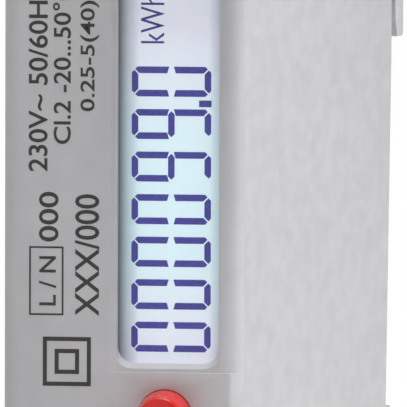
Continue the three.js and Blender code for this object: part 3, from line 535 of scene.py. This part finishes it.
def coil_point(turn, side):
    """A point of the wire's skin: `turn` along the coil from 0 to 1, `side` round the wire in radians."""
    angle = turn * COIL_TURNS * 2 * math.pi
    out = Vector((math.cos(angle), math.sin(angle), 0))
    rise = (COIL_HIGH - COIL_LOW) / COIL_TURNS / (2 * math.pi * COIL_RADIUS)
    along = Vector((-math.sin(angle), math.cos(angle), rise)).normalized()
    centre = Vector((0, COIL_Y, COIL_LOW + (COIL_HIGH - COIL_LOW) * turn)) + out * COIL_RADIUS
    return centre + (out * math.cos(side) + along.cross(out) * math.sin(side)) * COIL_WIRE


def add_latch_spring(material):
    """A coil of wire fixed to the case, standing in for the latch spring node."""
    steps = COIL_TURNS * STEPS_PER_TURN
    sides = [2 * math.pi * i / WIRE_SIDES for i in range(WIRE_SIDES)]
    points = [coil_point(step / steps, side) for step in range(steps + 1) for side in sides]
    near_end = tuple(range(WIRE_SIDES))
    far_end = tuple(steps * WIRE_SIDES + i for i in reversed(near_end))
    faces = [near_end, far_end]
    for step in range(steps):
        for i in range(WIRE_SIDES):
            here = step * WIRE_SIDES
            beside = (i + 1) % WIRE_SIDES
            faces.append((here + i, here + WIRE_SIDES + i, here + WIRE_SIDES + beside, here + beside))
    mesh = bpy.data.meshes.new("latch_spring_coil")
    mesh.from_pydata(points, [], faces)
    mesh.materials.append(material)
    coil = bpy.data.objects.new("latch_spring_coil", mesh)
    bpy.context.scene.collection.objects.link(coil)
    coil.modifiers.new("smooth", "NODES").node_group = SMOOTH
    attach(coil, CASE)
    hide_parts("latch_spring")
    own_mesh(coil)


# ---------------------------------------------------------------- print on the case

def add_print(name, points, faces, material):
    mesh = bpy.data.meshes.new(name)
    mesh.from_pydata(points, [], faces)
    mesh.materials.append(material)
    piece = bpy.data.objects.new(name, mesh)
    bpy.context.scene.collection.objects.link(piece)
    solid = piece.modifiers.new("thickness", "SOLIDIFY")
    solid.thickness = INK_THICK
    solid.offset = 0
    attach(piece, CASE)
    return piece


def text_shape(words, weight):
    """Vertices and faces of a line of text, scaled to a box of 1 by 1."""
    curve = bpy.data.curves.new("words", "FONT")
    curve.body = words
    curve.offset = weight
    curve.resolution_u = 4
    holder = bpy.data.objects.new("words", curve)
    bpy.context.scene.collection.objects.link(holder)
    bpy.context.view_layer.update()
    shape = holder.evaluated_get(bpy.context.evaluated_depsgraph_get())
    mesh = bpy.data.meshes.new_from_object(shape)
    points = [v.co.copy() for v in mesh.vertices]
    faces = [tuple(p.vertices) for p in mesh.polygons]
    bpy.data.objects.remove(holder)
    bpy.data.curves.remove(curve)
    bpy.data.meshes.remove(mesh)
    low = Vector((min(p.x for p in points), min(p.y for p in points)))
    high = Vector((max(p.x for p in points), max(p.y for p in points)))
    size = high - low
    return [((p.x - low.x) / size.x, (p.y - low.y) / size.y) for p in points], faces


def print_up(name, words, baseline, top, start, length, front, material, weight=0.012):
    """Text that reads upwards: its baseline and top are places in x, its start and length in z."""
    points, faces = text_shape(words, weight)
    placed = [
        Vector(((baseline + (top - baseline) * v) * MM, front, (start + length * u) * MM))
        for u, v in points
    ]
    return add_print(name, placed, faces, material)


def frame_outline(name, x, z, stroke, front, material):
    """A rectangular outline; x and z are its outer spans."""
    outer = [(x[0], z[0]), (x[1], z[0]), (x[1], z[1]), (x[0], z[1])]
    inner = [
        (x[0] + stroke, z[0] + stroke),
        (x[1] - stroke, z[0] + stroke),
        (x[1] - stroke, z[1] - stroke),
        (x[0] + stroke, z[1] - stroke),
    ]
    points = [Vector((a * MM, front, b * MM)) for a, b in outer + inner]
    faces = [(i, (i + 1) % 4, (i + 1) % 4 + 4, i + 4) for i in range(4)]
    return add_print(name, points, faces, material)


INK_STANDOFF = 0.3  # share of the ink's thickness by which its middle stands off the face


def add_face_print():
    # name, words, then in millimetres: baseline and top across the face, start and length up it
    material = ink("face_ink", (0.062, 0.056, 0.052))
    front = FACE_Y - INK_STANDOFF * INK_THICK
    lines = [
        ("print_voltage", "230V~ 50/60Hz", -5.44, -6.86, 6.75, 13.3),
        ("print_climate", "Cl.2 -20...50°C", -3.74, -5.08, 8.72, 11.6),
        ("print_current", "0.25-5(40)A", -1.68, -3.05, 11.1, 9.4),
        ("print_terminals", "L / N", -4.81, -6.06, -2.91, 3.55),
        ("print_number", "000", -4.63, -6.08, 1.69, 3.59),
        ("print_type", "XXX/000", -1.63, -3.42, -3.63, 8.76),
    ]
    for name, words, baseline, top, start, length in lines:
        print_up(name, words, baseline, top, start, length, front, material)
    frame_outline("print_box", (-6.79, -4.26), (-3.61, 1.35), 0.13, front, material)
    frame_outline("print_insulation_outer", (-5.77, -2.23), (-8.7, -5.16), 0.3, front, material)
    frame_outline("print_insulation_inner", (-4.9, -3.1), (-7.83, -6.03), 0.3, front, material)


# ---------------------------------------------------------------- display figures

# All sizes of the figures are in millimetres.
SEGMENT_STROKE = 0.48
FIGURE_TOP = 0.41
FIGURE_BOTTOM = 5.77
FIGURE_WIDTH = 1.68
FIGURE_PITCH = 3.07
FIRST_FIGURE = -5.22
SEGMENT_GAP = 0.07
MIDDLE_GAP = 0.17
CORNER_CUT = 0.36
MIDDLE_REACH = 0.1
POINT_ACROSS = (5.12, 6.04)
POINT_UP = (11.38, 11.86)
READING = "0000990"

# Segments of a seven-segment figure: its two ends as (along, up) from 0 to 1, and which side
# of it faces outwards: 1 is left of the way from start to end, -1 is right, 0 is the middle bar.
SEGMENTS = {
    "a": ((0, 1), (1, 1), 1),
    "b": ((1, 1), (1, 0.5), 1),
    "c": ((1, 0.5), (1, 0), 1),
    "d": ((0, 0), (1, 0), -1),
    "e": ((0, 0.5), (0, 0), -1),
    "f": ((0, 1), (0, 0.5), -1),
    "g": ((0, 0.5), (1, 0.5), 0),
}
LIT = {"0": "abcdef", "9": "abcdfg"}
HALF_WAY_UP = 0.5


def bar_end(place, way, outside, at_corner):
    """A bar's outline round one end, from its outer side to its inner; `way` points out of the bar.

    At a corner of the figure the end is mitred to meet the next bar and the corner is cut off.
    Half-way up, the bar stops short instead, which leaves a gap between two bars.
    """
    reach = way * SEGMENT_STROKE / 2
    if at_corner:
        end = place - way * SEGMENT_GAP
        corner = end + reach + outside
        cut = way * CORNER_CUT
        across = outside.normalized() * CORNER_CUT
        return [corner - cut, corner - (cut + across) / 2, end - reach - outside]
    end = place - way * MIDDLE_GAP
    return [end + outside, end - reach * 0.6 - outside]


def middle_bar(a, b, way, left):
    """The bar across the middle of a figure, pointed at both ends."""
    tip = way * MIDDLE_REACH
    inset = way * SEGMENT_STROKE / 2 - tip
    return [a - tip, a + inset - left, b - inset - left, b + tip, b - inset + left, a + inset + left]


def segment_points(start, end, outer, corners):
    """The outline of one bar in (along, up) millimetres; `corners` says which ends are corners."""
    a = Vector(start)
    b = Vector(end)
    way = (b - a).normalized()
    left = Vector((-way.y, way.x)) * SEGMENT_STROKE / 2
    if outer == 0:
        return middle_bar(a, b, way, left)
    outside = left * outer
    start_end = bar_end(a, -way, outside, corners[0])
    far_end = bar_end(b, way, outside, corners[1])
    return start_end + far_end[::-1]


def add_display_figures():
    material = ink("lcd_ink", (0.04, 0.028, 0.44), 0.5)
    front = GLASS_LOW.y - INK_THICK
    height = FIGURE_BOTTOM - FIGURE_TOP
    for place, figure in enumerate(READING):
        points = []
        faces = []
        low = FIRST_FIGURE + FIGURE_PITCH * place - FIGURE_WIDTH / 2
        for letter in LIT[figure]:
            start, end, outer = SEGMENTS[letter]
            ends = [(u * FIGURE_WIDTH, v * height) for u, v in (start, end)]
            at_corner = [v != HALF_WAY_UP for u, v in (start, end)]
            corners = segment_points(*ends, outer, at_corner)
            first = len(points)
            for along, up in corners:
                points.append(Vector(((FIGURE_BOTTOM - up) * MM, front, (low + along) * MM)))
            faces.append(tuple(range(first, first + len(corners))))
        add_print(f"lcd_figure_{place + 1}", points, faces, material)
    left, right = POINT_ACROSS
    low, high = POINT_UP
    outline = [(left, low), (right, low), (right, high), (left, high)]
    corners = [Vector((x * MM, front, z * MM)) for x, z in outline]
    add_print("lcd_point", corners, [(0, 1, 2, 3)], material)
    print_up("lcd_unit", "kWh", 2.56, 0.84, 15.95, 3.45, front, material, weight=0)


# ---------------------------------------------------------------- build

bpy.context.scene.view_settings.view_transform = "Standard"
add_camera()
add_world()
add_lights()
add_floor()
materials = finish_cad()
add_latch_spring(materials["spring_steel"])
add_face_print()
add_display_figures()
